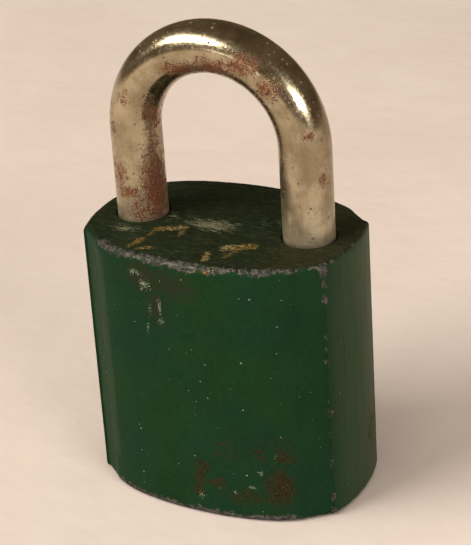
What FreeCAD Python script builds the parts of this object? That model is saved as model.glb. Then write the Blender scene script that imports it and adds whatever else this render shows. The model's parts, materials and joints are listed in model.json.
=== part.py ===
import FreeCAD, Part
import math
import os
import Sketcher
from FreeCAD import Placement, Rotation, Vector

# A keyed padlock with a solid case, a round U-shaped shackle and a five-pin tumbler
# cylinder that is put in from below. Two steel balls lock both legs of the shackle.
#
# Frame: millimetres, +Z up along the shackle, origin at the middle of the flat base.
# X runs across the case, from the heel leg (-X) to the toe leg (+X). Y runs through its
# thickness. It is drawn closed, with the plug turned to open: the balls are clear of the
# legs and the pins meet at the shear line, as they do with the right key in.

SIZES = {
    # Case
    "case_height": 43.4,
    "case_depth": 30.4,         # front to back, at the middle
    "case_width": 43.6,         # across the bulge of the end faces
    "corner_width": 40.8,       # across the upright corner edges
    "corner_depth": 16.6,
    "face_radius": 48.0,        # of the middle of the front and back faces
    "knee_width": 20.0,         # where the faces begin to turn in towards the corners
    "corner_round": 1.0,
    "rim_round": 0.9,
    "hole_chamfer": 0.3,
    # Shackle
    "leg_radius": 4.0,
    "leg_spacing": 28.5,
    "straight_leg": 14.4,       # from the case to the start of the bend
    "leg_clearance": 0.1,
    "leg_chamfer": 0.8,
    "shackle_travel": 14.4,
    "toe_tip": 29.5,            # height of the end of the short leg
    "toe_floor": 28.9,
    "heel_end": 15.2,           # height of the end of the long leg
    "heel_stop": 17.8,          # shoulder that meets the ball at full lift
    "heel_ring_height": 6.5,
    "heel_core_radius": 2.65,
    "heel_land_radius": 3.35,
    "heel_floor": 3.0,
    # Balls and the actuator that drives them
    "ball_radius": 3.5,
    "ball_level": 35.0,
    "ball_clearance": 0.05,
    "toe_ball_open": 6.6,       # centre of the ball from the lock's middle
    "toe_ball_travel": 2.35,
    "heel_ball_open": 7.3,
    "heel_ball_travel": 0.7,
    "notch_clearance": 0.25,
    "actuator_radius": 5.4,
    "actuator_bottom": 26.1,
    "actuator_top": 39.0,
    "recess_bottom": 31.2,
    "bore_clearance": 0.05,
    # Cylinder housing
    "housing_bottom": 0.3,
    "housing_top": 24.3,
    "housing_radius": 7.6,
    "bible_width": 8.0,
    "bible_reach": 12.6,
    "rib_width": 6.0,
    "rib_reach": 15.0,
    "cavity_gap": 0.1,
    "seat_gap": 0.02,
    "clip_room": 25.6,          # top of the wide cavity, above the clip
    # Plug
    "plug_radius": 5.5,
    "plug_clearance": 0.03,
    "flange_radius": 6.3,
    "flange_height": 1.2,
    "neck_radius": 4.2,
    "neck_height": 0.85,
    "collar_radius": 5.0,
    "plug_top": 26.0,
    "tongue_length": 6.4,
    "tongue_width": 2.0,
    "tongue_height": 2.0,
    "keyway_bottom": 4.6,       # below the plug's axis
    "keyway_top": 3.4,          # above it
    "keyway_width": 1.4,
    "ward_offset": 0.2,
    "upper_ward": 0.6,
    "lower_ward": 1.6,
    "keyway_end": 23.2,
    # Pins and their springs
    "first_pin": 5.3,
    "pin_pitch": 3.9,
    "pin_radius": 1.46,
    "chamber_radius": 1.5,
    "chamber_floor": 1.4,       # below the plug's axis
    "key_pin_head": 5.3,
    "key_pin_length_1": 4.6,
    "key_pin_length_2": 5.8,
    "key_pin_length_3": 5.2,
    "key_pin_length_4": 6.2,
    "key_pin_length_5": 4.9,
    "key_pin_point": 1.0,
    "key_pin_tip_radius": 0.5,
    "driver_length": 3.6,
    "driver_land": 0.9,
    "driver_waist_radius": 1.05,
    "driver_wire": 0.26,
    "driver_coils": 4.0,
    "cover_thickness": 0.6,
    "cover_width": 5.0,
    # Clip, screw and shackle spring
    "clip_radius": 6.6,
    "clip_thickness": 0.7,
    "clip_gap": 5.0,
    "clip_clearance": 0.05,
    "screw_place": 12.4,
    "screw_radius": 1.5,
    "screw_head_radius": 2.1,
    "screw_head_height": 1.8,
    "screw_seat": 25.8,
    "screw_end": 16.5,
    "screw_clearance": 0.1,
    "thread_clearance": 0.03,
    "hex_socket_radius": 1.15,
    "hex_socket_depth": 1.1,
    "spring_radius": 3.1,
    "spring_wire": 0.8,
    "spring_coils": 7.0,
    "spring_gap": 0.05,
}
PIN_COUNT = 5
QUARTER_TURN_STEPS = 6
OVERCUT = 2.0       # a cutting outline reaches this many times the piece's own size
MATCH = 1e-3        # how closely an edge has to match a size to be picked

doc = FreeCAD.newDocument("Padlock")
sheet = doc.addObject("Spreadsheet::Sheet", "Sizes")
nodes = []


class Size:
    """A length worked out from the sheet: its value now and the expression that binds it."""

    def __init__(self, value, text):
        self.value = value
        self.text = text

    def __add__(self, other):
        return combine(self, "+", other)

    def __sub__(self, other):
        return combine(self, "-", other)

    def __rsub__(self, other):
        return combine(other, "-", self)

    def __mul__(self, other):
        return combine(self, "*", other)

    def __truediv__(self, other):
        return combine(self, "/", other)

    def __neg__(self):
        return combine(0.0, "-", self)


def as_size(number):
    if isinstance(number, Size):
        return number
    return Size(float(number), f"({float(number):.9f})")


def combine(left, sign, right):
    left = as_size(left)
    right = as_size(right)
    results = {
        "+": left.value + right.value,
        "-": left.value - right.value,
        "*": left.value * right.value,
        "/": left.value / right.value if right.value else math.inf,
    }
    return Size(results[sign], f"({left.text} {sign} {right.text})")


def root(number):
    return Size(math.sqrt(number.value), f"sqrt({number.text})")


def size(alias):
    return Size(SIZES[alias], f"Sizes.{alias}")


def fill_sheet():
    for row, (alias, value) in enumerate(SIZES.items(), start=1):
        sheet.set(f"A{row}", alias)
        sheet.set(f"B{row}", str(value))
        sheet.setAlias(f"B{row}", alias)
    doc.recompute()


def bind(thing, name, number):
    thing.setExpression(name, as_size(number).text)


def new_body(label):
    body = doc.addObject("PartDesign::Body", label)
    body.Label = label
    nodes.append(body)
    return body


def put(thing, x=0.0, y=0.0, z=0.0, turn_x=0.0):
    """Places a sub-part, turned about X first, and keeps its position bound to the sheet."""
    place = Vector(as_size(x).value, as_size(y).value, as_size(z).value)
    thing.Placement = Placement(place, Rotation(Vector(1, 0, 0), turn_x))
    for axis, number in (("x", x), ("y", y), ("z", z)):
        if isinstance(number, Size):
            bind(thing, f"Placement.Base.{axis}", number)


def new_sketch(body, name, role, offset=0.0):
    """A sketch on one of the body's own origin planes, moved along the plane's normal.

    The normals are +Z for XY_Plane, -Y for XZ_Plane and +X for YZ_Plane.
    """
    plane = [feature for feature in body.Origin.OriginFeatures if feature.Role == role][0]
    sketch = body.newObject("Sketcher::SketchObject", name)
    sketch.AttachmentSupport = [(plane, "")]
    sketch.MapMode = "FlatFace"
    bind(sketch, "AttachmentOffset.Base.z", offset)
    return sketch


def fix_point(sketch, item, point, x, y):
    """Holds one point of a sketch item at x, y."""
    for kind, number, axis in (("DistanceX", x, -2), ("DistanceY", y, -1)):
        number = as_size(number)
        if number.value == 0.0:
            sketch.addConstraint(Sketcher.Constraint("PointOnObject", item, point, axis))
            continue
        made = sketch.addConstraint(Sketcher.Constraint(kind, -1, 1, item, point, number.value))
        bind(sketch, f"Constraints[{made}]", number)


def add_circle(sketch, x, y, radius):
    centre = Vector(as_size(x).value, as_size(y).value, 0)
    circle = sketch.addGeometry(Part.Circle(centre, Vector(0, 0, 1), as_size(radius).value), False)
    fix_point(sketch, circle, 3, x, y)
    made = sketch.addConstraint(Sketcher.Constraint("Radius", circle, as_size(radius).value))
    bind(sketch, f"Constraints[{made}]", radius)


def add_polygon(sketch, corners):
    points = [Vector(as_size(x).value, as_size(y).value, 0) for x, y in corners]
    lines = []
    for start, end in zip(points, points[1:] + points[:1]):
        lines.append(sketch.addGeometry(Part.LineSegment(start, end), False))
    for number, (x, y) in enumerate(corners):
        before = lines[number - 1]
        sketch.addConstraint(Sketcher.Constraint("Coincident", before, 2, lines[number], 1))
        fix_point(sketch, lines[number], 1, x, y)


def add_rectangle(sketch, left, right, low, high):
    add_polygon(sketch, [(left, low), (right, low), (right, high), (left, high)])


def pad(body, sketch, length):
    feature = body.newObject("PartDesign::Pad", f"{sketch.Name}_pad")
    feature.Profile = sketch
    bind(feature, "Length", length)
    doc.recompute()


def pocket(body, sketch, length):
    """Cuts against the sketch's normal."""
    before = body.Shape.Volume
    feature = body.newObject("PartDesign::Pocket", f"{sketch.Name}_pocket")
    feature.Profile = sketch
    bind(feature, "Length", length)
    check_cut(body, before, sketch)


def groove(body, sketch):
    """Cuts all the way round the sketch's own construction line."""
    before = body.Shape.Volume
    feature = body.newObject("PartDesign::Groove", f"{sketch.Name}_groove")
    feature.Profile = sketch
    feature.ReferenceAxis = (sketch, ["Axis0"])
    feature.Angle = 360.0
    check_cut(body, before, sketch)


def check_cut(body, before, sketch):
    """Stops the build if the last feature removed nothing."""
    doc.recompute()
    if body.Shape.Volume >= before:
        raise RuntimeError(f"{sketch.Name} cuts nothing")


def revolve(body, sketch, angle=360.0, backwards=False):
    """Turns the sketch about its own upright axis."""
    feature = body.newObject("PartDesign::Revolution", f"{sketch.Name}_turn")
    feature.Profile = sketch
    feature.ReferenceAxis = (sketch, ["V_Axis"])
    feature.Angle = angle
    feature.Reversed = backwards
    doc.recompute()


def turned_body(label, corners):
    """A piece turned about its own Z axis from half of its outline."""
    body = new_body(label)
    sketch = new_sketch(body, f"{label}_outline", "XZ_Plane")
    add_polygon(sketch, corners)
    revolve(body, sketch)
    return body


def dress(body, kind, name, test, **sizes):
    """A fillet or chamfer on every edge of the body that passes the test."""
    base = body.Tip
    chosen = [f"Edge{number}" for number, edge in enumerate(base.Shape.Edges, start=1) if test(edge)]
    feature = body.newObject(kind, name)
    feature.Base = (base, chosen)
    for prop, number in sizes.items():
        bind(feature, prop, number)
    doc.recompute()


def on_level(edge, level):
    box = edge.BoundBox
    return abs(box.ZMin - level) < MATCH and abs(box.ZMax - level) < MATCH


def pin_height(number):
    return size("first_pin") + size("pin_pitch") * number


def add_case_outline(sketch):
    """Eight arcs, anticlockwise: two bulged ends, two flat middles and four steeper shoulders."""
    knee = SIZES["knee_width"] / 2
    corner_x = SIZES["corner_width"] / 2
    corner_y = SIZES["corner_depth"] / 2
    bulge = (SIZES["case_width"] - SIZES["corner_width"]) / 2
    face = SIZES["face_radius"]
    face_centre = SIZES["case_depth"] / 2 - face
    knee_turn = math.asin(knee / face)
    knee_y = face_centre + face * math.cos(knee_turn)
    run = corner_x - knee
    drop = knee_y - corner_y
    corner_turn = 2 * math.atan2(drop, run) - knee_turn
    shoulder = math.hypot(run, drop) / (2 * math.sin((corner_turn - knee_turn) / 2))
    shoulder_x = knee - shoulder * math.sin(knee_turn)
    shoulder_y = knee_y - shoulder * math.cos(knee_turn)
    end = (corner_y**2 + bulge**2) / (2 * bulge)
    end_turn = math.asin(corner_y / end)
    end_x = corner_x + bulge - end
    arcs = []
    for side, across in ((1, 0.0), (-1, math.pi)):
        up = across + math.pi / 2
        near = side * shoulder_x
        level = side * shoulder_y
        arcs += [
            add_arc(sketch, side * end_x, 0, end, across - end_turn, across + end_turn),
            add_arc(sketch, near, level, shoulder, up - corner_turn, up - knee_turn),
            add_arc(sketch, 0, side * face_centre, face, up - knee_turn, up + knee_turn),
            add_arc(sketch, -near, level, shoulder, up + knee_turn, up + corner_turn),
        ]
    constrain_case_outline(sketch, arcs)


def add_arc(sketch, x, y, radius, start, end):
    circle = Part.Circle(Vector(x, y, 0), Vector(0, 0, 1), radius)
    return sketch.addGeometry(Part.ArcOfCircle(circle, start, end), False)


def constrain_case_outline(sketch, arcs):
    """Joins the eight arcs, smoothly where a flat middle begins, and ties them to the sheet."""
    corner_x = size("corner_width") / 2
    corner_y = size("corner_depth") / 2
    knee_x = size("knee_width") / 2
    bulge = (size("case_width") - size("corner_width")) / 2
    end_radius = (corner_y * corner_y + bulge * bulge) / (bulge * 2)
    face_centre = size("case_depth") / 2 - size("face_radius")
    for number, arc in enumerate(arcs):
        following = arcs[(number + 1) % len(arcs)]
        kind = "Tangent" if number % 4 in (1, 2) else "Coincident"
        sketch.addConstraint(Sketcher.Constraint(kind, arc, 2, following, 1))
    for side, first in ((1, 0), (-1, 4)):
        end_arc, _, middle_arc, last_arc = arcs[first:first + 4]
        bind_radius(sketch, end_arc, end_radius)
        fix_point(sketch, end_arc, 2, corner_x * side, corner_y * side)
        bind_radius(sketch, middle_arc, size("face_radius"))
        fix_point(sketch, middle_arc, 3, 0, face_centre * side)
        fix_point(sketch, last_arc, 2, corner_x * -side, corner_y * side)
        for point, way in ((1, side), (2, -side)):
            made = sketch.addConstraint(
                Sketcher.Constraint("DistanceX", -1, 1, middle_arc, point, knee_x.value * way)
            )
            bind(sketch, f"Constraints[{made}]", knee_x * way)


def bind_radius(sketch, item, radius):
    made = sketch.addConstraint(Sketcher.Constraint("Radius", item, radius.value))
    bind(sketch, f"Constraints[{made}]", radius)


def make_case():
    """The solid body, drilled from above for the legs and from below for the cylinder."""
    body = new_body("case")
    outline = new_sketch(body, "case_outline", "XY_Plane")
    add_case_outline(outline)
    pad(body, outline, size("case_height"))
    upright = size("case_height").value / 2

    def is_corner(edge):
        return edge.BoundBox.ZLength > upright and edge.Curve.TypeId == "Part::GeomLine" and \
            abs(abs(edge.BoundBox.XMin) - SIZES["corner_width"] / 2) < MATCH

    dress(body, "PartDesign::Fillet", "corner_rounding", is_corner, Radius=size("corner_round"))
    dress(
        body, "PartDesign::Fillet", "rim_rounding",
        lambda edge: on_level(edge, 0) or on_level(edge, SIZES["case_height"]),
        Radius=size("rim_round"),
    )
    cut_leg_holes(body)
    cut_cylinder_cavity(body)
    cut_ball_channel(body)
    return body


def cut_leg_holes(body):
    hole_radius = size("leg_radius") + size("leg_clearance")
    for label, side, floor in (("heel", -1, "heel_floor"), ("toe", 1, "toe_floor")):
        hole = new_sketch(body, f"{label}_hole", "XY_Plane", size("case_height"))
        add_circle(hole, size("leg_spacing") / 2 * side, 0, hole_radius)
        pocket(body, hole, size("case_height") - size(floor))

    def is_hole_rim(edge):
        return on_level(edge, SIZES["case_height"]) and edge.Curve.TypeId == "Part::GeomCircle" and \
            abs(edge.Curve.Radius - hole_radius.value) < MATCH

    dress(body, "PartDesign::Chamfer", "hole_rims", is_hole_rim, Size=size("hole_chamfer"))


def cut_cylinder_cavity(body):
    """Follows the cylinder housing, then narrows to the actuator's bore above it."""
    gap = size("cavity_gap")
    ceiling = size("housing_top") + size("seat_gap")
    barrel = new_sketch(body, "barrel_cavity", "XY_Plane", size("clip_room"))
    add_circle(barrel, 0, 0, size("housing_radius") + gap)
    pocket(body, barrel, size("clip_room"))
    bible = new_sketch(body, "bible_cavity", "XY_Plane", ceiling)
    half_bible = size("bible_width") / 2 + gap
    add_rectangle(bible, -half_bible, half_bible, 0, size("bible_reach") + gap)
    pocket(body, bible, ceiling)
    rib = new_sketch(body, "rib_cavity", "XY_Plane", ceiling)
    half_rib = size("rib_width") / 2 + gap
    add_rectangle(rib, 0, size("rib_reach") + gap, -half_rib, half_rib)
    pocket(body, rib, ceiling)
    top = size("actuator_top") + size("bore_clearance") * 2
    bore = new_sketch(body, "actuator_bore", "XY_Plane", top)
    add_circle(bore, 0, 0, size("actuator_radius") + size("bore_clearance"))
    pocket(body, bore, top - size("clip_room"))
    head_hole = new_sketch(body, "screw_head_hole", "XY_Plane", size("toe_floor"))
    add_circle(head_hole, size("screw_place"), 0, size("screw_head_radius") + size("screw_clearance"))
    pocket(body, head_hole, size("toe_floor") - size("screw_seat"))
    shank_hole = new_sketch(body, "screw_shank_hole", "XY_Plane", size("screw_seat"))
    add_circle(shank_hole, size("screw_place"), 0, size("screw_radius") + size("screw_clearance"))
    pocket(body, shank_hole, size("screw_seat") - ceiling)


def cut_ball_channel(body):
    channel = new_sketch(body, "ball_channel", "YZ_Plane", size("leg_spacing") / 2)
    add_circle(channel, 0, size("ball_level"), size("ball_radius") + size("ball_clearance"))
    pocket(body, channel, size("leg_spacing"))


def make_shackle():
    """A round bar bent into a U. The toe has one notch; the heel is turned to hold the ball."""
    body = new_body("shackle")
    reach = size("leg_spacing") / 2
    bend_level = size("case_height") + size("straight_leg")
    radius = size("leg_radius")
    for label, side, low in (("heel", -1, "heel_end"), ("toe", 1, "toe_tip")):
        leg = new_sketch(body, f"{label}_leg", "XY_Plane", size(low))
        add_circle(leg, reach * side, 0, radius)
        pad(body, leg, bend_level - size(low))
        if side == -1:
            bend = new_sketch(body, "bend", "XY_Plane", bend_level)
            add_circle(bend, reach, 0, radius)
            revolve(body, bend, angle=180.0, backwards=True)

    def is_leg_end(edge):
        return on_level(edge, SIZES["heel_end"]) or on_level(edge, SIZES["toe_tip"])

    dress(body, "PartDesign::Chamfer", "leg_ends", is_leg_end, Size=size("leg_chamfer"))
    cut_toe_notch(body)
    turn_heel(body)
    return body


def cut_toe_notch(body):
    """Milled across the inner side of the toe leg, where the locked ball sits."""
    reach = size("leg_radius") * OVERCUT
    notch = new_sketch(body, "toe_notch", "XZ_Plane", reach)
    locked = size("toe_ball_open") + size("toe_ball_travel")
    add_circle(notch, locked, size("ball_level"), size("ball_radius") + size("notch_clearance"))
    pocket(body, notch, reach * 2)


def turn_heel(body):
    """A deep ring where the ball locks, another where it stops the lift, and a land between."""
    axis_x = -size("leg_spacing") / 2
    outside = axis_x - size("leg_radius") * OVERCUT
    core = axis_x - size("heel_core_radius")
    land = axis_x - size("heel_land_radius")
    notch_half = size("ball_radius") + size("notch_clearance")
    low = size("heel_stop")
    low_top = low + size("heel_ring_height")
    high = size("ball_level") - notch_half
    high_top = size("ball_level") + notch_half
    rings = new_sketch(body, "heel_rings", "XZ_Plane")
    add_polygon(rings, [
        (outside, low), (core, low), (core, low_top), (land, low_top),
        (land, high), (core, high), (core, high_top), (outside, high_top),
    ])
    start = Vector(axis_x.value, low.value, 0)
    end = Vector(axis_x.value, high_top.value, 0)
    axis = rings.addGeometry(Part.LineSegment(start, end), True)
    fix_point(rings, axis, 1, axis_x, low)
    fix_point(rings, axis, 2, axis_x, high_top)
    groove(body, rings)


def make_ball(label, side):
    """Shown drawn in, clear of its leg."""
    ball = doc.addObject("Part::Sphere", label)
    ball.Label = label
    bind(ball, "Radius", size("ball_radius"))
    put(ball, size(f"{label}_open") * side, 0, size("ball_level"))
    nodes.append(ball)


def make_actuator():
    """Turned by the plug's tongue. Its two recesses let the balls in as it turns to open."""
    body = new_body("actuator")
    barrel = new_sketch(body, "actuator_barrel", "XY_Plane", size("actuator_bottom"))
    add_circle(barrel, 0, 0, size("actuator_radius"))
    pad(body, barrel, size("actuator_top") - size("actuator_bottom"))
    for label, side in (("toe_ball", 1), ("heel_ball", -1)):
        cut_recess(body, label, side)
    slot_top = size("plug_top") + size("tongue_height") + size("bore_clearance") * 2
    slot = new_sketch(body, "tongue_slot", "XY_Plane", slot_top)
    half_slot = size("tongue_width") / 2 + size("bore_clearance")
    half_length = size("actuator_radius") + size("bore_clearance")
    add_rectangle(slot, -half_length, half_length, -half_slot, half_slot)
    pocket(body, slot, slot_top - size("actuator_bottom"))
    return body


def cut_recess(body, label, side):
    """A ramp whose outline stays one ball radius from the path of the ball's centre.

    The centre moves out evenly as the actuator turns back a quarter turn, so in the
    actuator's own frame its path is an Archimedean spiral. The ramp is that path's offset.
    """
    opened = size(f"{label}_open")
    travel = size(f"{label}_travel")
    clear = size("ball_radius") + size("ball_clearance")
    slope = travel / (math.pi / 2)
    depth = size("actuator_top") - size("recess_bottom")
    ramp = []
    for step in range(QUARTER_TURN_STEPS + 1):
        angle = math.pi / 2 * step / QUARTER_TURN_STEPS
        distance = opened + travel * (step / QUARTER_TURN_STEPS)
        length = root(distance * distance + slope * slope)
        along = distance - clear * distance / length
        across = clear * slope / length
        ramp.append((
            (along * math.cos(angle) - across * math.sin(angle)) * side,
            (along * math.sin(angle) + across * math.cos(angle)) * side,
        ))
    outside = size("actuator_radius") * OVERCUT * side
    corner = [(ramp[-1][0], outside), (outside, outside), (outside, ramp[0][1])]
    sketch = new_sketch(body, f"{label}_ramp", "XY_Plane", size("actuator_top"))
    add_polygon(sketch, ramp + corner)
    pocket(body, sketch, depth)
    ends = [("start", opened * side, 0)]
    if label == "heel_ball":
        ends.append(("end", 0, (opened + travel) * side))
    for name, x, y in ends:
        seat = new_sketch(body, f"{label}_{name}", "XY_Plane", size("actuator_top"))
        add_circle(seat, x, y, clear)
        pocket(body, seat, depth)


def make_housing():
    """The fixed part of the cylinder: a barrel, the pin chambers' bible and a rib for the screw."""
    body = new_body("cylinder_housing")
    bottom = size("housing_bottom")
    length = size("housing_top") - bottom
    barrel = new_sketch(body, "housing_barrel", "XY_Plane", bottom)
    add_circle(barrel, 0, 0, size("housing_radius"))
    pad(body, barrel, length)
    bible = new_sketch(body, "bible", "XY_Plane", bottom)
    half_bible = size("bible_width") / 2
    add_rectangle(bible, -half_bible, half_bible, 0, size("bible_reach"))
    pad(body, bible, length)
    rib = new_sketch(body, "screw_rib", "XY_Plane", bottom)
    half_rib = size("rib_width") / 2
    add_rectangle(rib, 0, size("rib_reach"), -half_rib, half_rib)
    pad(body, rib, length)
    clearance = size("plug_clearance")
    bore = new_sketch(body, "plug_bore", "XY_Plane", size("housing_top"))
    add_circle(bore, 0, 0, size("plug_radius") + clearance)
    pocket(body, bore, length)
    shoulder = new_sketch(body, "flange_seat", "XY_Plane", bottom + size("flange_height") + clearance)
    add_circle(shoulder, 0, 0, size("flange_radius") + clearance)
    pocket(body, shoulder, size("flange_height") + clearance)
    cover_groove = new_sketch(body, "cover_groove", "XY_Plane", size("housing_top"))
    half_cover = size("cover_width") / 2 + size("seat_gap")
    groove_floor = size("bible_reach") - size("cover_thickness")
    add_rectangle(cover_groove, -half_cover, half_cover, groove_floor, size("bible_reach") * OVERCUT)
    pocket(body, cover_groove, length)
    drill_chambers(body, size("plug_radius") / OVERCUT, size("bible_reach"))
    thread = new_sketch(body, "screw_thread", "XY_Plane", size("housing_top"))
    add_circle(thread, size("screw_place"), 0, size("screw_radius") + size("thread_clearance"))
    pocket(body, thread, size("housing_top") - size("screw_end") + size("screw_radius"))
    return body


def drill_chambers(body, start, end):
    """The row of pin holes, cut towards +Y."""
    holes = new_sketch(body, f"{body.Label}_chambers", "XZ_Plane", -start)
    for number in range(PIN_COUNT):
        add_circle(holes, 0, pin_height(number), size("chamber_radius"))
    pocket(body, holes, end - start)


def make_plug():
    """Turns in the housing. The key goes in from below, and the tongue turns the actuator."""
    clearance = size("plug_clearance")
    bottom = size("housing_bottom")
    shoulder = bottom + size("flange_height")
    neck = size("housing_top") + clearance
    neck_top = neck + size("neck_height")
    body = turned_body("plug", [
        (0, bottom), (size("flange_radius"), bottom), (size("flange_radius"), shoulder),
        (size("plug_radius"), shoulder), (size("plug_radius"), neck), (size("neck_radius"), neck),
        (size("neck_radius"), neck_top), (size("collar_radius"), neck_top),
        (size("collar_radius"), size("plug_top")), (0, size("plug_top")),
    ])
    tongue = new_sketch(body, "tongue", "XY_Plane", size("plug_top"))
    half_length = size("tongue_length") / 2
    half_width = size("tongue_width") / 2
    add_rectangle(tongue, -half_length, half_length, -half_width, half_width)
    pad(body, tongue, size("tongue_height"))
    keyway = new_sketch(body, "keyway", "XY_Plane", size("keyway_end"))
    half_key = size("keyway_width") / 2
    shift = size("ward_offset")
    add_polygon(keyway, [
        (-half_key - shift, -size("keyway_bottom")), (half_key - shift, -size("keyway_bottom")),
        (half_key - shift, -size("lower_ward")), (half_key + shift, -size("lower_ward")),
        (half_key + shift, size("upper_ward")), (half_key - shift, size("upper_ward")),
        (half_key - shift, size("keyway_top")), (-half_key - shift, size("keyway_top")),
        (-half_key - shift, size("upper_ward")), (-half_key + shift, size("upper_ward")),
        (-half_key + shift, -size("lower_ward")), (-half_key - shift, -size("lower_ward")),
    ])
    pocket(body, keyway, size("keyway_end") - bottom)
    drill_chambers(body, -size("chamber_floor"), size("plug_radius"))
    return body


def make_key_pin(number):
    """Lies along Y with its flat head at the shear line and its point in the keyway."""
    radius = size("pin_radius")
    length = size(f"key_pin_length_{number + 1}")
    body = turned_body(f"key_pin_{number + 1}", [
        (0, 0), (radius, 0), (radius, length - size("key_pin_point")),
        (size("key_pin_tip_radius"), length), (0, length),
    ])
    put(body, 0, size("key_pin_head"), pin_height(number), turn_x=90)


def make_driver_pin(number):
    """A spool: two lands and a thinner waist, with its flat end on the shear line."""
    radius = size("pin_radius")
    waist = size("driver_waist_radius")
    land = size("driver_land")
    length = size("driver_length")
    body = turned_body(f"driver_pin_{number + 1}", [
        (0, 0), (radius, 0), (radius, land), (waist, land), (waist, length - land),
        (radius, length - land), (radius, length), (0, length),
    ])
    put(body, 0, size("plug_radius") + size("plug_clearance"), pin_height(number), turn_x=-90)


def coil_spring(label, coil_radius, wire, length, coils):
    """A round-wire spring wound up its own Z axis, standing on z = 0."""
    body = new_body(label)
    wire_radius = wire / 2
    section = new_sketch(body, f"{label}_wire", "XZ_Plane")
    add_circle(section, coil_radius, wire_radius, wire_radius)
    coil = body.newObject("PartDesign::AdditiveHelix", f"{label}_coil")
    coil.Profile = section
    coil.ReferenceAxis = (section, ["V_Axis"])
    coil.Mode = "pitch-height-angle"
    bind(coil, "Height", length - wire)
    bind(coil, "Pitch", (length - wire) / coils)
    doc.recompute()
    return body


def make_driver_spring(number):
    start = size("plug_radius") + size("plug_clearance") + size("driver_length")
    end = size("bible_reach") - size("cover_thickness")
    gap = size("spring_gap")
    wire = size("driver_wire")
    coil_radius = size("pin_radius") - wire / 2 - gap
    length = end - start - gap * 2
    body = coil_spring(f"driver_spring_{number + 1}", coil_radius, wire, length, size("driver_coils"))
    put(body, 0, start + gap, pin_height(number), turn_x=-90)


def make_shackle_spring():
    """Under the long leg. It throws the shackle up when the lock opens."""
    gap = size("spring_gap")
    length = size("heel_end") - size("heel_floor") - gap * 2
    body = coil_spring("shackle_spring", size("spring_radius"), size("spring_wire"), length,
                       size("spring_coils"))
    put(body, -size("leg_spacing") / 2, 0, size("heel_floor") + gap)


def make_chamber_cover():
    """The strip that closes the spring ends of the chambers."""
    cover = doc.addObject("Part::Box", "chamber_cover")
    cover.Label = "chamber_cover"
    bind(cover, "Length", size("cover_width"))
    bind(cover, "Width", size("cover_thickness"))
    bind(cover, "Height", size("housing_top") - size("housing_bottom"))
    put(cover, -size("cover_width") / 2, size("bible_reach") - size("cover_thickness"),
        size("housing_bottom"))
    nodes.append(cover)


def make_plug_clip():
    """An open ring in the plug's neck that keeps the plug in the housing."""
    body = new_body("plug_clip")
    clearance = size("clip_clearance")
    thickness = size("clip_thickness")
    top = size("housing_top") + clearance * 2 + thickness
    ring = new_sketch(body, "clip_ring", "XY_Plane", top - thickness)
    add_circle(ring, 0, 0, size("clip_radius"))
    add_circle(ring, 0, 0, size("neck_radius") + clearance)
    pad(body, ring, thickness)
    gap = new_sketch(body, "clip_gap", "XY_Plane", top)
    half_gap = size("clip_gap") / 2
    add_rectangle(gap, -half_gap, half_gap, -size("clip_radius") * OVERCUT, 0)
    pocket(body, gap, thickness)


def make_cylinder_screw():
    """Reached down the toe hole once the shackle is up. It holds the cylinder in the case."""
    seat = size("screw_seat")
    body = turned_body("cylinder_screw", [
        (0, size("screw_end")), (size("screw_radius"), size("screw_end")), (size("screw_radius"), seat),
        (size("screw_head_radius"), seat), (size("screw_head_radius"), seat + size("screw_head_height")),
        (0, seat + size("screw_head_height")),
    ])
    socket = new_sketch(body, "hex_socket", "XY_Plane", seat + size("screw_head_height"))
    reach = size("hex_socket_radius")
    add_polygon(socket, [
        (reach * math.cos(math.radians(60 * side + 30)), reach * math.sin(math.radians(60 * side + 30)))
        for side in range(6)
    ])
    pocket(body, socket, size("hex_socket_depth"))
    put(body, size("screw_place"))


def check_document():
    """Stops the build if any object failed or any sub-part has no sound shape."""
    doc.recompute()
    for thing in doc.Objects:
        if "Invalid" in thing.State or "Error" in thing.State:
            raise RuntimeError(f"{thing.Name} failed: {thing.State}")
    for node in nodes:
        shape = node.Shape
        if shape.isNull() or not shape.isValid() or len(shape.Solids) != 1:
            raise RuntimeError(f"{node.Label} has no sound shape")


def write_steps():
    os.makedirs("parts", exist_ok=True)
    for node in nodes:
        node.Shape.exportStep(os.path.join("parts", f"{node.Label}.step"))
        box = node.Shape.BoundBox
        print(f"{node.Label}: volume {node.Shape.Volume:.2f} mm3, z {box.ZMin:.2f} to {box.ZMax:.2f}")


fill_sheet()
make_case()
make_shackle()
make_ball("heel_ball", -1)
make_ball("toe_ball", 1)
make_actuator()
make_housing()
make_plug()
for pin in range(PIN_COUNT):
    make_key_pin(pin)
    make_driver_pin(pin)
    make_driver_spring(pin)
make_chamber_cover()
make_plug_clip()
make_cylinder_screw()
make_shackle_spring()
check_document()
write_steps()
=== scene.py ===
import json
import math

import bmesh
import bpy
import numpy as np
from mathutils import Matrix, Vector, geometry, noise


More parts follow.
